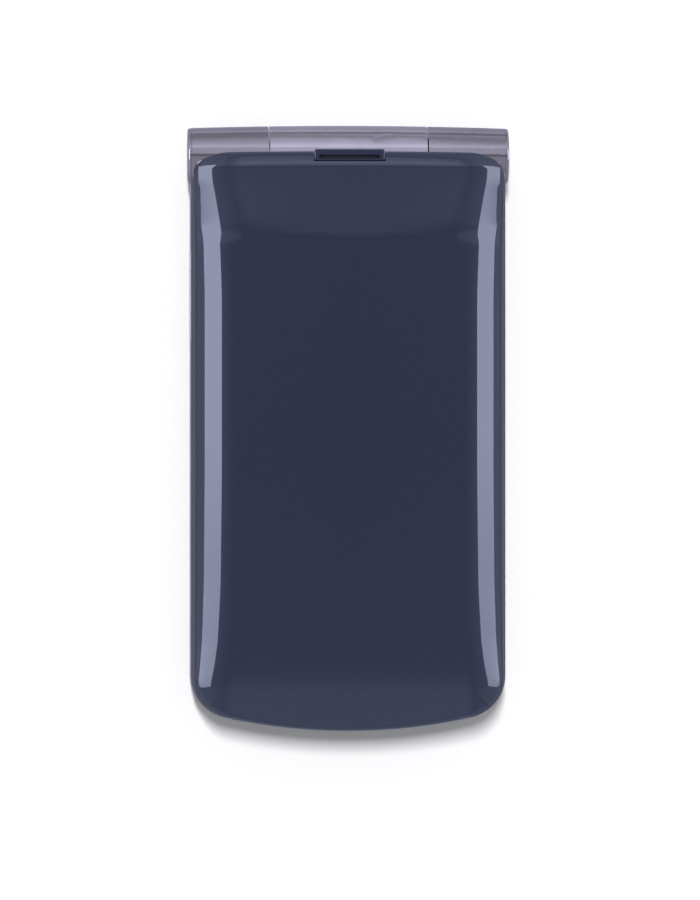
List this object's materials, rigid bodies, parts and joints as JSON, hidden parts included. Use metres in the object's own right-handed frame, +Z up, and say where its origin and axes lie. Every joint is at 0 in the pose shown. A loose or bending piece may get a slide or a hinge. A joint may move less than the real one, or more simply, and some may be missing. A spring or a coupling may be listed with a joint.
{
  "type": "clamshell mobile phone",
  "caption": "Closed clamshell phone: glossy navy lid over a keypad base, mauve metal bands and hinge barrel, sprung keys, lift-off battery cover.",
  "frame": {"origin": "on the resting plane, under the middle of the closed phone's bounding box", "axes": "+X across the phone, +Y along it towards the hinge, +Z up from the base through the lid"},
  "size_m": [0.052, 0.0982, 0.0167],
  "materials": {
    "battery_wrap": "dark wrapped cell pack",
    "black_gloss": "black gloss",
    "black_plastic": "fine matt moulding",
    "circuit_green": "solder mask",
    "clear_rubber": "milky silicone",
    "clear_window": "clear hard-coated window",
    "display_grey": "display glass, dark when off",
    "dome_film": "film with metal domes",
    "flex_amber": "amber film",
    "gold": "gold-plated contact springs",
    "key_plastic": "pale mauve lacquer; the twelve dialling keys carry plain numerals",
    "mauve_metal": "mauve metallised band, satin",
    "mesh": "fine black mesh",
    "navy_gloss": "deep navy pearl lacquer under clear gloss",
    "navy_satin": "navy satin moulding",
    "soft_rubber": "soft moulding",
    "steel": "plated steel",
    "tin_can": "tinned sheet"
  },
  "bodies": {
    "base": {"base_frame": "mauve_metal", "rear_case": "navy_satin", "keypad_plate": "navy_satin", "rubber_keymat": "clear_rubber", "dome_sheet": "dome_film", "main_circuit_board": "circuit_green", "rf_shield": "tin_can", "antenna": "black_plastic", "camera_module": "black_gloss", "camera_panel": "black_gloss", "microphone": "steel", "charging_socket": "tin_can", "battery_contacts": "gold", "base_screws": "steel", "hinge_cam": "steel"},
    "lid": {"lid_frame": "mauve_metal", "lid_outer_cover": "navy_gloss", "lid_inner_bezel": "navy_satin", "display_window": "clear_window", "display_panel": "display_grey", "lid_circuit_board": "circuit_green", "earpiece_speaker": "black_plastic", "earpiece_grille": "mesh", "ringer_speaker": "black_plastic", "slot_trim": "navy_gloss", "slot_mesh": "mesh", "vibration_motor": "steel", "lid_screws": "steel", "lid_screw_caps": "soft_rubber", "lid_bumpers": "soft_rubber", "hinge_caps": "mauve_metal", "hinge_housing": "steel", "hinge_spring": "steel", "hinge_follower": "black_plastic", "hinge_bush": "black_plastic", "flex_cable": "flex_amber"},
    "battery_cover": {"battery_cover": "navy_satin"},
    "battery": {"battery": "battery_wrap"},
    "charge_port_cover": {"charge_port_cover": "mauve_metal"},
    "volume_rocker": {"volume_rocker": "mauve_metal"},
    "camera_key": {"camera_key": "mauve_metal"},
    "key_1": {"key_1": "key_plastic"},
    "key_2": {"key_2": "key_plastic"},
    "key_3": {"key_3": "key_plastic"},
    "key_4": {"key_4": "key_plastic"},
    "key_5": {"key_5": "key_plastic"},
    "key_6": {"key_6": "key_plastic"},
    "key_7": {"key_7": "key_plastic"},
    "key_8": {"key_8": "key_plastic"},
    "key_9": {"key_9": "key_plastic"},
    "key_star": {"key_star": "key_plastic"},
    "key_0": {"key_0": "key_plastic"},
    "key_hash": {"key_hash": "key_plastic"},
    "key_soft_left": {"key_soft_left": "key_plastic"},
    "key_soft_right": {"key_soft_right": "key_plastic"},
    "key_send": {"key_send": "key_plastic"},
    "key_end": {"key_end": "key_plastic"},
    "key_clear": {"key_clear": "key_plastic"},
    "key_navigation": {"key_navigation": "key_plastic"},
    "key_ok": {"key_ok": "key_plastic"}
  },
  "joints": [
    {"name": "lid_hinge", "type": "hinge", "parent": "base", "child": "lid", "pos_m": [0, 0.0442, 0.00935], "axis": [-1, 0, 0], "range_deg": [0, 160]},
    {"name": "key_1_press", "type": "slide", "parent": "base", "child": "key_1", "axis": [0, 0, -1], "range_m": [0, 0.0003], "stiffness_N_per_m": 300},
    {"name": "key_2_press", "type": "slide", "parent": "base", "child": "key_2", "axis": [0, 0, -1], "range_m": [0, 0.0003], "stiffness_N_per_m": 300},
    {"name": "key_3_press", "type": "slide", "parent": "base", "child": "key_3", "axis": [0, 0, -1], "range_m": [0, 0.0003], "stiffness_N_per_m": 300},
    {"name": "key_4_press", "type": "slide", "parent": "base", "child": "key_4", "axis": [0, 0, -1], "range_m": [0, 0.0003], "stiffness_N_per_m": 300},
    {"name": "key_5_press", "type": "slide", "parent": "base", "child": "key_5", "axis": [0, 0, -1], "range_m": [0, 0.0003], "stiffness_N_per_m": 300},
    {"name": "key_6_press", "type": "slide", "parent": "base", "child": "key_6", "axis": [0, 0, -1], "range_m": [0, 0.0003], "stiffness_N_per_m": 300},
    {"name": "key_7_press", "type": "slide", "parent": "base", "child": "key_7", "axis": [0, 0, -1], "range_m": [0, 0.0003], "stiffness_N_per_m": 300},
    {"name": "key_8_press", "type": "slide", "parent": "base", "child": "key_8", "axis": [0, 0, -1], "range_m": [0, 0.0003], "stiffness_N_per_m": 300},
    {"name": "key_9_press", "type": "slide", "parent": "base", "child": "key_9", "axis": [0, 0, -1], "range_m": [0, 0.0003], "stiffness_N_per_m": 300},
    {"name": "key_star_press", "type": "slide", "parent": "base", "child": "key_star", "axis": [0, 0, -1], "range_m": [0, 0.0003], "stiffness_N_per_m": 300},
    {"name": "key_0_press", "type": "slide", "parent": "base", "child": "key_0", "axis": [0, 0, -1], "range_m": [0, 0.0003], "stiffness_N_per_m": 300},
    {"name": "key_hash_press", "type": "slide", "parent": "base", "child": "key_hash", "axis": [0, 0, -1], "range_m": [0, 0.0003], "stiffness_N_per_m": 300},
    {"name": "key_soft_left_press", "type": "slide", "parent": "base", "child": "key_soft_left", "axis": [0, 0, -1], "range_m": [0, 0.0003], "stiffness_N_per_m": 300},
    {"name": "key_soft_right_press", "type": "slide", "parent": "base", "child": "key_soft_right", "axis": [0, 0, -1], "range_m": [0, 0.0003], "stiffness_N_per_m": 300},
    {"name": "key_send_press", "type": "slide", "parent": "base", "child": "key_send", "axis": [0, 0, -1], "range_m": [0, 0.0003], "stiffness_N_per_m": 300},
    {"name": "key_end_press", "type": "slide", "parent": "base", "child": "key_end", "axis": [0, 0, -1], "range_m": [0, 0.0003], "stiffness_N_per_m": 300},
    {"name": "key_clear_press", "type": "slide", "parent": "base", "child": "key_clear", "axis": [0, 0, -1], "range_m": [0, 0.0003], "stiffness_N_per_m": 300},
    {"name": "key_navigation_press", "type": "slide", "parent": "base", "child": "key_navigation", "axis": [0, 0, -1], "range_m": [0, 0.0003], "stiffness_N_per_m": 300},
    {"name": "key_ok_press", "type": "slide", "parent": "base", "child": "key_ok", "axis": [0, 0, -1], "range_m": [0, 0.0003], "stiffness_N_per_m": 300},
    {"name": "volume_rocker_tilt", "type": "hinge", "parent": "base", "child": "volume_rocker", "pos_m": [-0.0236, 0.0215, 0.0071], "axis": [0, 0, 1], "range_deg": [-1.5, 1.5], "stiffness_Nm_per_rad": 0.1},
    {"name": "camera_key_press", "type": "slide", "parent": "base", "child": "camera_key", "axis": [-1, 0, 0], "range_m": [0, 0.0003], "stiffness_N_per_m": 300},
    {"name": "charge_port_cover_swing", "type": "hinge", "parent": "base", "child": "charge_port_cover", "pos_m": [-0.00475, -0.04861, 0.0071], "axis": [0, 0, -1], "range_deg": [0, 90]},
    {"name": "battery_cover_lift", "type": "slide", "parent": "base", "child": "battery_cover", "axis": [0, 0, -1], "range_m": [0, 0.02]},
    {"name": "battery_lift", "type": "slide", "parent": "base", "child": "battery", "axis": [0, 0, -1], "range_m": [0, 0.01]}
  ],
  "couplings": [
    {"joint": "battery_lift", "follows": "battery_cover_lift", "ratio": 0.5}
  ]
}
